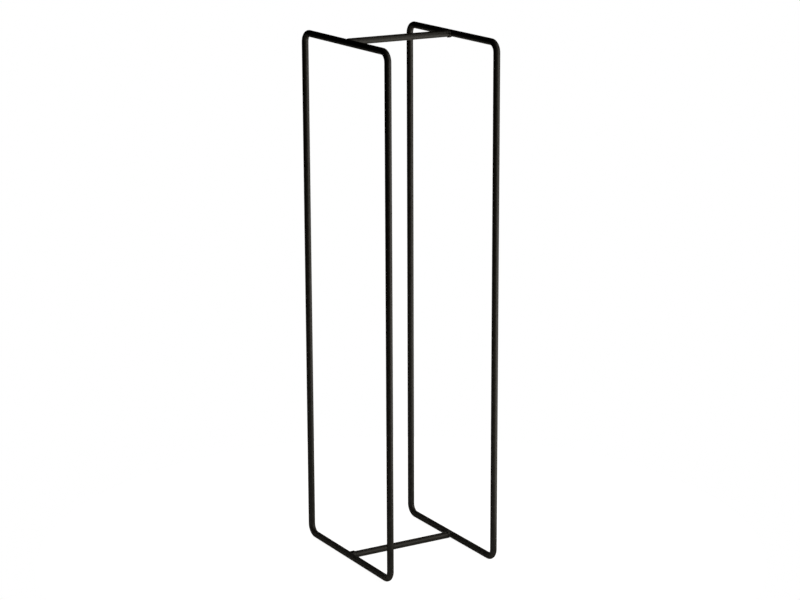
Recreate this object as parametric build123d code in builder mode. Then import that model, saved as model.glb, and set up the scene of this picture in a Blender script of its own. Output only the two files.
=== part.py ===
from build123d import *
import os

# Firewood log rack: two bent round-bar hoops held apart by two crossbars.
#
# Millimetres, +Z up. The origin is on the floor, midway between the two hoops.
# X runs from hoop to hoop, the way the logs lie. Y runs across a hoop's width.
# "Outward" means away from the origin along X, towards the hoop on that side.

# ---------------------------------------------------------------- overall sizes
rack_height = 1000.0  # floor to the top of the hoops
hoop_width = 320.0  # outside width of a hoop, along Y
rack_depth = 240.0  # outside size over the two hoops, along X

# ---------------------------------------------------------------- bars and tubes
bar_diameter = 12.7  # outside of the hoops' solid round bar and of the crossbars' tube
bend_radius = 18.0  # hoop corners, measured on the bar's centre line
tube_wall = 2.0
tube_end_chamfer = 0.3

# ---------------------------------------------------------------- flanged spigot
flange_overhang = 1.6  # how far the flange stands out from the crossbar, on one side
flange_web = 3.5  # least metal between the hoop's bar and the crossbar's end
saddle_depth = 2.5  # how far the flange's lip reaches back round the hoop's bar
flange_chamfer = 0.4
tenon_diameter = 5.0  # stub that sits in the hoop's bar
tenon_depth = 7.0  # depth of the hole for it
tenon_end_gap = 0.3
pin_length = 22.0  # from the flange into the crossbar
pin_tip_chamfer = 1.0

# ---------------------------------------------------------------- grub screw, M4 x 4
screw_diameter = 4.0
screw_length = 4.0
screw_sink = 0.3  # below the crossbar's surface
screw_inset = 10.0  # from the crossbar's end to the screw's axis
screw_point_chamfer = 0.9
socket_across_flats = 2.0
socket_depth = 1.8

# ---------------------------------------------------------------- clearances on radius
pin_clearance = 0.1  # pin in the tube's bore
tenon_clearance = 0.05  # tenon in the hoop's bar
thread_clearance = 0.05  # screw in its tapped hole
dimple_clearance = 0.2  # screw's point in the pin's dimple, all round and at its end

# ---------------------------------------------------------------- worked out
bar_radius = bar_diameter / 2
bore_radius = bar_radius - tube_wall
pin_radius = bore_radius - pin_clearance
flange_radius = bar_radius + flange_overhang / 2

hoop_x = rack_depth / 2 - bar_radius  # centre line of the hoops' bar
hoop_y = hoop_width / 2 - bar_radius
bottom_z = bar_radius  # every bar at the bottom lies on the floor
top_z = rack_height - bar_radius

bar_inside_x = hoop_x - bar_radius  # the bar's inner side, which faces the other hoop
crossbar_end_x = bar_inside_x - flange_web
pin_tip_x = crossbar_end_x - pin_length
lip_x = bar_inside_x + saddle_depth
tenon_tip_x = bar_inside_x + tenon_depth - tenon_end_gap
screw_x = crossbar_end_x - screw_inset
screw_head_drop = bar_radius - screw_sink  # from the crossbar's axis down to the screw's head
screw_point_drop = screw_head_drop - screw_length

sides = {"left": -1, "right": 1}
levels = {"bottom": bottom_z, "top": top_z}

os.makedirs("parts", exist_ok=True)


def outward_plane(side, height):
    """Upright plane through the crossbar's axis: local x is outward, local y is up."""
    return Plane(origin=(0, 0, height), x_dir=(side, 0, 0), z_dir=(0, -side, 0))


def facing_outward(side, x, height):
    """Plane across the crossbar's axis at x, with its normal outward."""
    return Plane(origin=(side * x, 0, height), x_dir=(0, 1, 0), z_dir=(side, 0, 0))


def facing_down(side, drop, height):
    """Level plane under the crossbar's axis, at a screw's place, with its normal down."""
    return Plane(origin=(side * screw_x, 0, height - drop), x_dir=(1, 0, 0), z_dir=(0, 0, -1))


# ---------------------------------------------------------------- side hoops
# One bar, bent four times, with its ends welded together.
for side_name, side in sides.items():
    with BuildSketch(facing_outward(side, hoop_x, (bottom_z + top_z) / 2)) as outline:
        RectangleRounded(2 * hoop_y, top_z - bottom_z, bend_radius)
    centre_line = outline.sketch.wire()

    with BuildPart() as hoop:
        with BuildSketch(Plane(origin=centre_line @ 0, z_dir=centre_line % 0)):
            Circle(bar_radius)
        sweep(path=centre_line)
        # blind holes for the spigots' tenons
        for height in levels.values():
            with BuildSketch(facing_outward(side, bar_inside_x, height)):
                Circle(tenon_diameter / 2 + tenon_clearance)
            extrude(amount=tenon_depth, mode=Mode.SUBTRACT)

    hoop.part.label = f"side_hoop_{side_name}"
    export_step(hoop.part, f"parts/side_hoop_{side_name}.step")

# ---------------------------------------------------------------- crossbars
# Square-cut tube, with a tapped hole under each end.
for level_name, height in levels.items():
    with BuildPart() as crossbar:
        with BuildSketch(facing_outward(1, 0, height)):
            Circle(bar_radius)
            Circle(bore_radius, mode=Mode.SUBTRACT)
        extrude(amount=crossbar_end_x, both=True)
        end_rims = crossbar.edges().filter_by(GeomType.CIRCLE).sort_by(SortBy.RADIUS)[-2:]
        chamfer(end_rims, tube_end_chamfer)
        for side in sides.values():
            with BuildSketch(facing_down(side, 0, height)):
                Circle(screw_diameter / 2 + thread_clearance)
            extrude(amount=bar_diameter, mode=Mode.SUBTRACT)

    crossbar.part.label = f"crossbar_{level_name}"
    export_step(crossbar.part, f"parts/crossbar_{level_name}.step")

# ---------------------------------------------------------------- flanged spigots
# Turned in one piece: pin, flange and tenon. The flange is off centre: level with the
# crossbar on the hoop's outer side, so that it clears the floor, and standing out
# towards the inside of the hoop. There it has a lip, hollowed to sit round the hoop's
# bar, where it is welded. On the outer side it is cut square at the bar.
for level_name, height in levels.items():
    beyond_hoop = -1 if level_name == "bottom" else 1
    for side_name, side in sides.items():
        # local y of a plane that faces outward is up or down with the side
        outer_y = side * beyond_hoop

        with BuildPart() as spigot:
            with BuildSketch(facing_outward(side, crossbar_end_x, height)):
                with Locations((0, -outer_y * flange_overhang / 2)):
                    Circle(flange_radius)
            extrude(amount=lip_x - crossbar_end_x)
            chamfer(spigot.edges().filter_by(GeomType.CIRCLE), flange_chamfer)
            # saddle for the hoop's bar
            with BuildSketch(Plane(origin=(side * hoop_x, 0, height), z_dir=(0, 1, 0))):
                Circle(bar_radius)
            extrude(amount=bar_diameter, both=True, mode=Mode.SUBTRACT)
            # no lip on the outer side
            with BuildSketch(facing_outward(side, bar_inside_x, height)):
                with Locations((0, outer_y * bar_radius)):
                    Rectangle(2 * bar_diameter, bar_diameter)
            extrude(amount=saddle_depth, mode=Mode.SUBTRACT)
            # pin
            with BuildSketch(outward_plane(side, height)):
                with BuildLine():
                    Polyline(
                        (pin_tip_x, 0),
                        (pin_tip_x, pin_radius - pin_tip_chamfer),
                        (pin_tip_x + pin_tip_chamfer, pin_radius),
                        (crossbar_end_x, pin_radius),
                        (crossbar_end_x, 0),
                        close=True,
                    )
                make_face()
            revolve(axis=Axis((0, 0, height), (1, 0, 0)))
            # tenon
            with BuildSketch(facing_outward(side, crossbar_end_x, height)):
                Circle(tenon_diameter / 2)
            extrude(amount=tenon_tip_x - crossbar_end_x)
            # dimple that the grub screw's point sits in
            with BuildSketch(facing_down(side, screw_point_drop - dimple_clearance, height)):
                Circle(screw_diameter / 2 + dimple_clearance)
            extrude(amount=bar_diameter, mode=Mode.SUBTRACT)

        spigot.part.label = f"spigot_{level_name}_{side_name}"
        export_step(spigot.part, f"parts/spigot_{level_name}_{side_name}.step")

# ---------------------------------------------------------------- grub screws
# Hexagon socket set screws, fitted from below, with a chamfered point.
for level_name, height in levels.items():
    for side_name, side in sides.items():
        with BuildPart() as screw:
            with BuildSketch(facing_down(side, screw_point_drop, height)):
                Circle(screw_diameter / 2)
            extrude(amount=screw_length)
            point_rim = screw.edges().filter_by(GeomType.CIRCLE).sort_by(Axis.Z)[-1]
            chamfer(point_rim, screw_point_chamfer)
            with BuildSketch(facing_down(side, screw_head_drop - socket_depth, height)):
                RegularPolygon(socket_across_flats / 2, 6, major_radius=False)
            extrude(amount=socket_depth, mode=Mode.SUBTRACT)

        screw.part.label = f"grub_screw_{level_name}_{side_name}"
        export_step(screw.part, f"parts/grub_screw_{level_name}_{side_name}.step")
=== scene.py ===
"""Firewood log rack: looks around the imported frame. Metres, +Z up, X from hoop to hoop."""
import math

import bmesh
import bpy
from mathutils import Matrix, Vector


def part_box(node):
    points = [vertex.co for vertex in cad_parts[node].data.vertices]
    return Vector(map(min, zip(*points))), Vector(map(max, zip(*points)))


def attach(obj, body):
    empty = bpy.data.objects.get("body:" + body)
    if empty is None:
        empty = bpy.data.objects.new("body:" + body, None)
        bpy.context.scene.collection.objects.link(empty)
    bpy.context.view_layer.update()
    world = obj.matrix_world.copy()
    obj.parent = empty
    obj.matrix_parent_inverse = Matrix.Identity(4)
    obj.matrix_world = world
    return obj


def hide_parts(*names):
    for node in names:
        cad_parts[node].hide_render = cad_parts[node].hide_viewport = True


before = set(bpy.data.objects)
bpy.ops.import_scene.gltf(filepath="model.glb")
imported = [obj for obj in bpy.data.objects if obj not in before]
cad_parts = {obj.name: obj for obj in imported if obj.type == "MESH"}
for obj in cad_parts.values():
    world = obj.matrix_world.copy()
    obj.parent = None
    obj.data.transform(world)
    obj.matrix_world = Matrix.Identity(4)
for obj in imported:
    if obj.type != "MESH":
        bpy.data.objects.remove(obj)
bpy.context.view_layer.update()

MM = 0.001

# ---------------------------------------------------------------- sizes, in metres
# The places come from the frame's boxes. The small sizes are the CAD's own.
hoop_low, hoop_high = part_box("side_hoop_right")
bar_low, bar_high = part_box("crossbar_bottom")
BAR_RADIUS = round((hoop_high.x - hoop_low.x) / 2, 5)
HOOP_X = round((hoop_high.x + hoop_low.x) / 2, 5)
HOOP_Y = round(hoop_high.y, 4) - BAR_RADIUS
LEVELS = {"bottom": BAR_RADIUS, "top": round(hoop_high.z, 4) - BAR_RADIUS}
CROSSBAR_END = round(bar_high.x, 5)
SIDES = {"left": -1, "right": 1}

BEND_RADIUS = 18 * MM
TUBE_WALL = 2 * MM
FLANGE_OFFSET = 0.8 * MM  # the flange is off centre by this, towards the inside of the hoop
FLANGE_RADIUS = BAR_RADIUS + FLANGE_OFFSET
BAR_INSIDE = HOOP_X - BAR_RADIUS  # the bar's inner side, which faces the other hoop
LIP_X = BAR_INSIDE + 2.5 * MM
PIN_RADIUS = BAR_RADIUS - TUBE_WALL - 0.1 * MM
PIN_TIP = CROSSBAR_END - 22 * MM
PIN_TIP_CHAMFER = 1 * MM
TENON_RADIUS = 2.5 * MM
TENON_HOLE_RADIUS = 2.55 * MM
TENON_HOLE_DEPTH = 7 * MM
TENON_GAP = 0.3 * MM
SCREW_RADIUS = 2 * MM
SCREW_HOLE_RADIUS = 2.05 * MM
SCREW_X = CROSSBAR_END - 10 * MM
SCREW_HEAD = BAR_RADIUS - 0.3 * MM  # depth of the screw's head below the crossbar's axis
SCREW_LENGTH = 4 * MM
DIMPLE_GAP = 0.2 * MM
SHARP_ANGLE = math.radians(32)  # edges sharper than this stay sharp
SLIVER = 0.004  # millimetres, as booleans are done in millimetres


# ---------------------------------------------------------------- mesh helpers
def new_object(name, data):
    obj = bpy.data.objects.new(name, data)
    bpy.context.scene.collection.objects.link(obj)
    return obj


def skin(name, rings, loop=False):
    """Closed surface through equal rings of points. A ring of one point is a pole."""
    bm = bmesh.new()
    made = [[bm.verts.new(p) for p in ring] for ring in rings]
    pairs = list(zip(made, made[1:]))
    if loop:
        pairs.append((made[-1], made[0]))
    for a, b in pairs:
        n = max(len(a), len(b))
        for i in range(n):
            j = (i + 1) % n
            corners = [a[i % len(a)], b[i % len(b)], b[j % len(b)], a[j % len(a)]]
            bm.faces.new(list(dict.fromkeys(corners)))
    bmesh.ops.recalc_face_normals(bm, faces=bm.faces)
    mesh = bpy.data.meshes.new(name)
    bm.to_mesh(mesh)
    bm.free()
    return new_object(name, mesh)


def turned(name, profile, segments, loop=False):
    """Turns a profile of (x, radius) about the X axis. A radius of 0 is a pole."""
    rings = []
    for x, radius in profile:
        if radius == 0:
            rings.append([Vector((x, 0, 0))])
            continue
        angles = [2 * math.pi * i / segments for i in range(segments)]
        rings.append([Vector((x, radius * math.cos(a), radius * math.sin(a))) for a in angles])
    return skin(name, rings, loop)


def rod(name, radius, low, high, segments):
    """Solid round rod along X."""
    return turned(name, [(low, 0), (low, radius), (high, radius), (high, 0)], segments)


def box(name, low, high):
    bm = bmesh.new()
    bmesh.ops.create_cube(bm, size=1)
    low, high = Vector(low), Vector(high)
    for v in bm.verts:
        v.co = (low + high) / 2 + Vector(c * s for c, s in zip(v.co, high - low))
    mesh = bpy.data.meshes.new(name)
    bm.to_mesh(mesh)
    bm.free()
    return new_object(name, mesh)


def place(obj, matrix):
    obj.data.transform(matrix)
    return obj


def at_joint(height, side):
    """Moves what is built for the right-hand side at height 0 to a joint."""
    return Matrix.Translation((0, 0, height)) @ Matrix.Rotation(0 if side > 0 else math.pi, 4, "Z")


def pointing_down(x):
    """Turns what is built along X to point down, at x."""
    return Matrix.Translation((x, 0, 0)) @ Matrix.Rotation(math.pi / 2, 4, "Y")


def settle(obj):
    """Applies the modifiers."""
    bpy.context.view_layer.update()
    shown = obj.evaluated_get(bpy.context.evaluated_depsgraph_get())
    mesh = bpy.data.meshes.new_from_object(shown)
    obj.modifiers.clear()
    obj.data = mesh
    return obj


def clear_slivers(obj):
    """Merges the points that a boolean leaves almost together, and drops its flat flaps."""
    bm = bmesh.new()
    bm.from_mesh(obj.data)
    bmesh.ops.remove_doubles(bm, verts=bm.verts, dist=SLIVER)
    bmesh.ops.dissolve_degenerate(bm, edges=bm.edges, dist=SLIVER)
    bmesh.ops.triangulate(bm, faces=bm.faces)
    twins = {}
    for face in bm.faces:
        twins.setdefault(frozenset(face.verts), []).append(face)
    flaps = [face for same in twins.values() if len(same) == 2 for face in same]
    bmesh.ops.delete(bm, geom=flaps, context="FACES")
    bm.to_mesh(obj.data)
    bm.free()


def combine(obj, other, operation, self_cut=False):
    """Boolean with another object, which is used up. Done in millimetres, for precision."""
    for o in (obj, other):
        o.data.transform(Matrix.Scale(1 / MM, 4))
    change = obj.modifiers.new("combine", "BOOLEAN")
    change.operation = operation
    change.solver = "EXACT"
    change.use_self = self_cut
    change.object = other
    settle(obj)
    bpy.data.objects.remove(other)
    if not obj.data.polygons:
        raise RuntimeError(f"the boolean left nothing of {obj.name}")
    clear_slivers(obj)
    obj.data.transform(Matrix.Scale(MM, 4))
    return obj


def largest_part(obj):
    """Keeps the connected part with the most faces."""
    bm = bmesh.new()
    bm.from_mesh(obj.data)
    left, parts = set(bm.verts), []
    while left:
        stack = [next(iter(left))]
        part = set(stack)
        while stack:
            for edge in stack.pop().link_edges:
                for v in edge.verts:
                    if v not in part:
                        part.add(v)
                        stack.append(v)
        left -= part
        parts.append(part)
    parts.sort(key=len)
    bmesh.ops.delete(bm, geom=[v for part in parts[:-1] for v in part], context="VERTS")
    bm.to_mesh(obj.data)
    bm.free()
    return obj


def finish_piece(obj, material, node):
    obj.data.materials.clear()
    obj.data.materials.append(material)
    for face in obj.data.polygons:
        face.use_smooth = True
        face.material_index = 0
    obj.data.set_sharp_from_angle(angle=SHARP_ANGLE)
    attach(obj, "root")
    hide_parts(node)


# ---------------------------------------------------------------- materials
def nodes_for(name):
    """New material, with its node tree, shader and object coordinates."""
    mat = bpy.data.materials.new(name)
    mat.use_nodes = True
    tree = mat.node_tree
    bsdf = tree.nodes["Principled BSDF"]
    coordinates = tree.nodes.new("ShaderNodeTexCoord").outputs["Object"]
    return mat, tree, bsdf, coordinates


def noise(tree, coordinates, grain, detail, roughness=0.5):
    """Noise whose features are about grain metres across."""
    node = tree.nodes.new("ShaderNodeTexNoise")
    node.inputs["Scale"].default_value = 1 / grain
    node.inputs["Detail"].default_value = detail
    node.inputs["Roughness"].default_value = roughness
    tree.links.new(coordinates, node.inputs["Vector"])
    return node.outputs["Fac"]


def remap(tree, value, low, high, to_low, to_high):
    """Stretches low..high to to_low..to_high, clamped."""
    node = tree.nodes.new("ShaderNodeMapRange")
    node.inputs["From Min"].default_value = low
    node.inputs["From Max"].default_value = high
    node.inputs["To Min"].default_value = to_low
    node.inputs["To Max"].default_value = to_high
    tree.links.new(value, node.inputs["Value"])
    return node.outputs["Result"]


def math_node(tree, operation, a, b):
    node = tree.nodes.new("ShaderNodeMath")
    node.operation = operation
    for socket, value in zip(node.inputs, (a, b)):
        if isinstance(value, (int, float)):
            socket.default_value = value
        else:
            tree.links.new(value, socket)
    return node.outputs["Value"]


def ramp_colour(tree, value, dark, light):
    node = tree.nodes.new("ShaderNodeMix")
    node.data_type = "RGBA"
    node.inputs["A"].default_value = (*dark, 1)
    node.inputs["B"].default_value = (*light, 1)
    tree.links.new(value, node.inputs["Factor"])
    return node.outputs["Result"]


def bump(tree, height, depth, normal=None):
    """Bump of depth metres."""
    node = tree.nodes.new("ShaderNodeBump")
    node.inputs["Distance"].default_value = depth
    tree.links.new(height, node.inputs["Height"])
    if normal is not None:
        tree.links.new(normal, node.inputs["Normal"])
    return node.outputs["Normal"]


def powder_coat():
    """Satin black powder coat: fine grain over a slow orange peel, faintly mottled."""
    mat, tree, bsdf, at = nodes_for("powder_coat")
    mottle = noise(tree, at, 9 * MM, detail=3)
    grain = noise(tree, at, 0.32 * MM, detail=2, roughness=0.6)
    peel = noise(tree, at, 2.2 * MM, detail=1)
    tone = remap(tree, mottle, 0.3, 0.7, 0, 1)
    tree.links.new(
        ramp_colour(tree, tone, (0.0195, 0.0168, 0.0120), (0.0270, 0.0235, 0.0170)),
        bsdf.inputs["Base Color"],
    )
    slow = math_node(tree, "MULTIPLY", mottle, 0.6)
    fine = math_node(tree, "MULTIPLY", grain, 0.4)
    uneven = math_node(tree, "ADD", slow, fine)
    tree.links.new(remap(tree, uneven, 0.35, 0.65, 0.38, 0.52), bsdf.inputs["Roughness"])
    normal = bump(tree, peel, 0.14 * MM)
    normal = bump(tree, grain, 0.05 * MM, normal)
    tree.links.new(normal, bsdf.inputs["Normal"])
    bsdf.inputs["IOR"].default_value = 1.5
    return mat


def black_oxide():
    """Black oxide on alloy steel: dark metal with faint blue-brown patches and machining grain."""
    mat, tree, bsdf, at = nodes_for("black_oxide")
    patches = remap(tree, noise(tree, at, 1.6 * MM, detail=3), 0.3, 0.7, 0, 1)
    grain = noise(tree, at, 0.12 * MM, detail=2)
    tree.links.new(
        ramp_colour(tree, patches, (0.030, 0.029, 0.028), (0.046, 0.047, 0.052)),
        bsdf.inputs["Base Color"],
    )
    tree.links.new(remap(tree, grain, 0.3, 0.7, 0.32, 0.46), bsdf.inputs["Roughness"])
    tree.links.new(bump(tree, grain, 0.01 * MM), bsdf.inputs["Normal"])
    bsdf.inputs["Metallic"].default_value = 0.9
    return mat


powder = powder_coat()
oxide = black_oxide()


# ---------------------------------------------------------------- side hoops
def hoop_stations():
    """Places along a hoop's centre line in (y, z), each with its outward normal."""
    middle_z = (LEVELS["bottom"] + LEVELS["top"]) / 2
    half_z = LEVELS["top"] - middle_z
    flat, rise = HOOP_Y - BEND_RADIUS, half_z - BEND_RADIUS
    along = [0, 3.4 * MM, 7 * MM, 12 * MM, 40 * MM, flat * 0.66]  # closest at the joint
    up = [rise * t for t in (-0.6, -0.2, 0.2, 0.6)]
    arc_steps = 20
    stations = []
    for turn in range(4):
        a = -math.pi / 2 + turn * math.pi / 2
        arc_ends_upright = turn % 2 == 0
        centre_y = flat * (1 if turn in (0, 1) else -1)
        centre_z = rise * (-1 if turn in (0, 3) else 1)
        for i in range(arc_steps + 1):
            b = a + math.pi / 2 * i / arc_steps
            n = Vector((math.cos(b), math.sin(b)))
            p = Vector((centre_y, centre_z)) + n * BEND_RADIUS
            stations.append((p, n))
        n = Vector((math.cos(a + math.pi / 2), math.sin(a + math.pi / 2)))
        forward = Vector((-n.y, n.x))
        places = up if arc_ends_upright else [-p for p in reversed(along)] + along[1:]
        base = n * (HOOP_Y if arc_ends_upright else half_z)
        stations += [(base + forward * t, n) for t in places]
    return [(p + Vector((0, middle_z)), n) for p, n in stations]


def make_hoop(side_name, side):
    segments = 48
    rings = []
    for p, n in hoop_stations():
        ring = []
        for i in range(segments):
            a = 2 * math.pi * i / segments
            across, out = BAR_RADIUS * math.sin(a), BAR_RADIUS * math.cos(a)
            ring.append(Vector((side * HOOP_X + across, p.x + n.x * out, p.y + n.y * out)))
        rings.append(ring)
    hoop = skin(f"hoop_{side_name}", rings, loop=True)
    hole_start = BAR_INSIDE - 2 * MM  # clear of the bar
    for height in LEVELS.values():
        hole = rod("hole", TENON_HOLE_RADIUS, hole_start, BAR_INSIDE + TENON_HOLE_DEPTH, 32)
        place(hole, at_joint(height, side))
        combine(hoop, hole, "DIFFERENCE")
    finish_piece(hoop, powder, f"side_hoop_{side_name}")


# ---------------------------------------------------------------- crossbars
def rounded_rim(x, inward, radius, rim, steps):
    """Profile points of a rounded rim, from its side to its end face at x."""
    angles = [math.pi / 2 * i / steps for i in range(steps + 1)]
    return [
        (x + inward * rim * (1 - math.sin(a)), radius - rim * (1 - math.cos(a)))
        for a in angles
    ]


def make_crossbar(level_name, height):
    bore = BAR_RADIUS - TUBE_WALL
    by_the_screw = [SCREW_X + gap * MM for gap in (-4, -2.4, 2.4, 4)]
    outer = [(x, BAR_RADIUS) for x in by_the_screw]
    outer += rounded_rim(CROSSBAR_END, -1, BAR_RADIUS, rim=0.35 * MM, steps=4)
    inner = [(CROSSBAR_END, bore)] + [(x, bore) for x in reversed(by_the_screw)]
    profile = [(-x, r) for x, r in reversed(outer)] + outer
    profile += inner + [(-x, r) for x, r in reversed(inner)]
    bar = turned(f"crossbar_{level_name}_tube", profile, 64, loop=True)
    for side in SIDES.values():
        hole = rod("hole", SCREW_HOLE_RADIUS, 0, 2 * BAR_RADIUS, 40)
        place(hole, pointing_down(side * SCREW_X))
        combine(bar, hole, "DIFFERENCE")
    place(bar, Matrix.Translation((0, 0, height)))
    finish_piece(bar, powder, f"crossbar_{level_name}")


# ---------------------------------------------------------------- flanged spigots
def across_bar(name, radius, half_length, segments):
    """Rod where the hoop's bar is, with the crossbar's axis at height 0."""
    bar = rod(name, radius, -half_length, half_length, segments)
    return place(bar, Matrix.Translation((HOOP_X, 0, 0)) @ Matrix.Rotation(math.pi / 2, 4, "Z"))


def seam_point(turn):
    """Where the flange meets the bar, by angle about the flange's axis from the hoop's inside."""
    lip_z = math.sqrt(BAR_RADIUS ** 2 - (HOOP_X - LIP_X) ** 2)
    y = FLANGE_RADIUS * math.sin(turn)
    z = FLANGE_OFFSET + FLANGE_RADIUS * math.cos(turn)
    if z >= lip_z:  # along the end of the lip
        return Vector((LIP_X, y, lip_z))
    return Vector((HOOP_X - math.sqrt(BAR_RADIUS ** 2 - z * z), y, z))


def weld_bead():
    """Bead of weld along the seam, with its ripples, thinning out at both ends."""
    radius, ripple, spacing, stand_off = 0.95 * MM, 0.04 * MM, 1.2 * MM, 0.2 * MM
    reach, taper = math.radians(104), 0.16  # to each side, and the share of it that thins out
    steps, segments = 132, 20
    turns = [reach * (2 * i / steps - 1) for i in range(steps + 1)]
    path = []
    for turn in turns:
        away = Vector((0, math.sin(turn), math.cos(turn)))
        path.append(seam_point(turn) + stand_off * away)
    rings, run = [[path[0]]], 0
    for i in range(1, steps):
        run += (path[i] - path[i - 1]).length
        along = (path[i + 1] - path[i - 1]).normalized()
        n1 = along.cross(Vector((1, 0, 0))).normalized()
        n2 = along.cross(n1)
        fade = min(1, (1 - abs(turns[i]) / reach) / taper)
        r = radius * math.sqrt(max(0, 1 - (1 - fade) ** 2))
        r += ripple * fade * math.cos(2 * math.pi * run / spacing)
        angles = [2 * math.pi * k / segments for k in range(segments)]
        rings.append([path[i] + r * (math.cos(a) * n1 + math.sin(a) * n2) for a in angles])
    rings.append([path[steps]])
    return skin("bead", rings)


def flange_head():
    """The flange and its weld, for the right-hand end of the bottom crossbar."""
    near = rounded_rim(CROSSBAR_END, 1, FLANGE_RADIUS, rim=0.45 * MM, steps=5)
    far = rounded_rim(LIP_X, -1, FLANGE_RADIUS, rim=0.45 * MM, steps=5)
    head = turned("head", [(CROSSBAR_END, 0)] + near[::-1] + far + [(LIP_X, 0)], 96)
    place(head, Matrix.Translation((0, 0, FLANGE_OFFSET)))
    # No lip on the hoop's outer side. The box ends just off the flange's own points.
    wide = 12 * MM
    no_lip = box("no_lip", (BAR_INSIDE, -wide, -wide), (HOOP_X, wide, 0.013 * MM))
    combine(head, no_lip, "DIFFERENCE")
    combine(head, weld_bead(), "UNION", self_cut=True)
    return combine(head, across_bar("bar", BAR_RADIUS, 18 * MM, 128), "DIFFERENCE")


def make_spigot(level_name, height, side_name, side):
    head = flange_head()
    if level_name == "top":
        place(head, Matrix.Rotation(math.pi, 4, "X"))
    pin_end = CROSSBAR_END + 0.4 * MM  # inside the flange
    tenon_tip = BAR_INSIDE + TENON_HOLE_DEPTH - TENON_GAP
    core = [
        (PIN_TIP, 0), (PIN_TIP, PIN_RADIUS - PIN_TIP_CHAMFER),
        (PIN_TIP + PIN_TIP_CHAMFER, PIN_RADIUS), (pin_end, PIN_RADIUS),
        (pin_end, TENON_RADIUS), (tenon_tip, TENON_RADIUS), (tenon_tip, 0),
    ]
    combine(head, turned("core", core, 64), "UNION")
    bottom = SCREW_HEAD - SCREW_LENGTH - DIMPLE_GAP
    dimple = rod("dimple", SCREW_RADIUS + DIMPLE_GAP, bottom, 2 * BAR_RADIUS, 40)
    place(dimple, pointing_down(SCREW_X))
    combine(head, dimple, "DIFFERENCE")
    largest_part(head)
    head.name = f"spigot_{level_name}_{side_name}_turned"
    place(head, at_joint(height, side))
    finish_piece(head, powder, f"spigot_{level_name}_{side_name}")


for side_name, side in SIDES.items():
    make_hoop(side_name, side)
for level_name, height in LEVELS.items():
    make_crossbar(level_name, height)
    for side_name, side in SIDES.items():
        make_spigot(level_name, height, side_name, side)

for node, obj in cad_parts.items():
    if node.startswith("grub"):
        for slot in obj.material_slots:
            slot.material = oxide


# ---------------------------------------------------------------- camera
def make_camera():
    """Long lens, looking down a little from the front left at the middle of the rack."""
    azimuth, elevation, roll = (math.radians(a) for a in (-30.40, 14.48, -0.22))
    distance, shift_right, shift_up = 4.312, 0.0005, 0.0032  # metres
    back = Vector((
        math.sin(azimuth) * math.cos(elevation),
        -math.cos(azimuth) * math.cos(elevation),
        math.sin(elevation),
    ))
    right = Vector((math.cos(azimuth), math.sin(azimuth), 0))
    up = back.cross(right)
    right_rolled = math.cos(roll) * right + math.sin(roll) * up
    up_rolled = -math.sin(roll) * right + math.cos(roll) * up
    centre = Vector((0, 0, (LEVELS["bottom"] + LEVELS["top"]) / 2))
    data = bpy.data.cameras.new("camera")
    data.lens = 102.825
    data.sensor_width = 36
    cam = new_object("camera", data)
    turn = Matrix((right_rolled, up_rolled, back)).transposed()
    cam.matrix_world = (
        Matrix.Translation(centre + back * distance - right * shift_right - up * shift_up)
        @ turn.to_4x4()
    )
    data.clip_start, data.clip_end = 0.05, 100
    bpy.context.scene.camera = cam


make_camera()


# ---------------------------------------------------------------- floor and light
FLOOR_RADIUS = 0.7
FLOOR_GLOW = 0.97  # keeps the floor as white as the background behind it
WARM_WHITE = (1.0, 0.965, 0.885)


def make_floor():
    """Small white disc, which doesn't show in the bars' reflections."""
    bm = bmesh.new()
    bmesh.ops.create_circle(bm, cap_ends=True, segments=96, radius=FLOOR_RADIUS)
    mesh = bpy.data.meshes.new("floor")
    bm.to_mesh(mesh)
    bm.free()
    floor = new_object("floor", mesh)
    mat = bpy.data.materials.new("floor_white")
    mat.use_nodes = True
    bsdf = mat.node_tree.nodes["Principled BSDF"]
    bsdf.inputs["Base Color"].default_value = (0.85, 0.85, 0.85, 1)
    bsdf.inputs["Roughness"].default_value = 0.9
    bsdf.inputs["Emission Color"].default_value = (1, 1, 1, 1)
    bsdf.inputs["Emission Strength"].default_value = FLOOR_GLOW
    mesh.materials.append(mat)
    floor.visible_glossy = False


def softbox(name, centre, look_at, size, radiance):
    """Plain rectangular light of the given radiance, not seen by the camera."""
    data = bpy.data.lights.new(name, "AREA")
    data.shape = "RECTANGLE"
    data.size, data.size_y = size
    data.energy = radiance * math.pi * size[0] * size[1]
    data.color = WARM_WHITE
    obj = new_object(name, data)
    obj.location = centre
    obj.rotation_mode = "QUATERNION"
    obj.rotation_quaternion = (Vector(look_at) - Vector(centre)).to_track_quat("-Z", "Y")
    obj.visible_camera = False


def make_world():
    """White background, which only the camera sees."""
    world = bpy.data.worlds.new("world")
    bpy.context.scene.world = world  # first, as setting its visibility updates the scene's world
    world.use_nodes = True
    world.node_tree.nodes["Background"].inputs["Color"].default_value = (1, 1, 1, 1)
    world.cycles_visibility.diffuse = False
    world.cycles_visibility.glossy = False


make_floor()
make_world()
# name, centre, point it faces, size and radiance
softbox("key", (1.75, -1.75, 0.8), (0, 0, 0.5), (2.6, 1.6), 1.55)
softbox("overhead", (0.9, -1.3, 2.3), (0, 0, 0.5), (1.6, 1.2), 0.8)
softbox("card", (1.2, -1.2, 0.02), (1.2, -1.2, 2), (2.0, 2.0), 1.4)
softbox("back_card", (1.4, 1.5, 0.02), (1.4, 1.5, 2), (1.8, 1.6), 1.2)
softbox("back_right", (1.9, 1.5, 0.9), (0, 0, 0.5), (0.9, 1.6), 1.2)
softbox("back_down", (-0.1, 1.45, 0.85), (-0.1, 1.45, 0), (1.2, 0.9), 0.16)
softbox("low_left", (-0.7, 1.3, 0.15), (0, 0, 0.05), (1.8, 0.3), 0.2)

bpy.context.scene.view_settings.view_transform = "Standard"
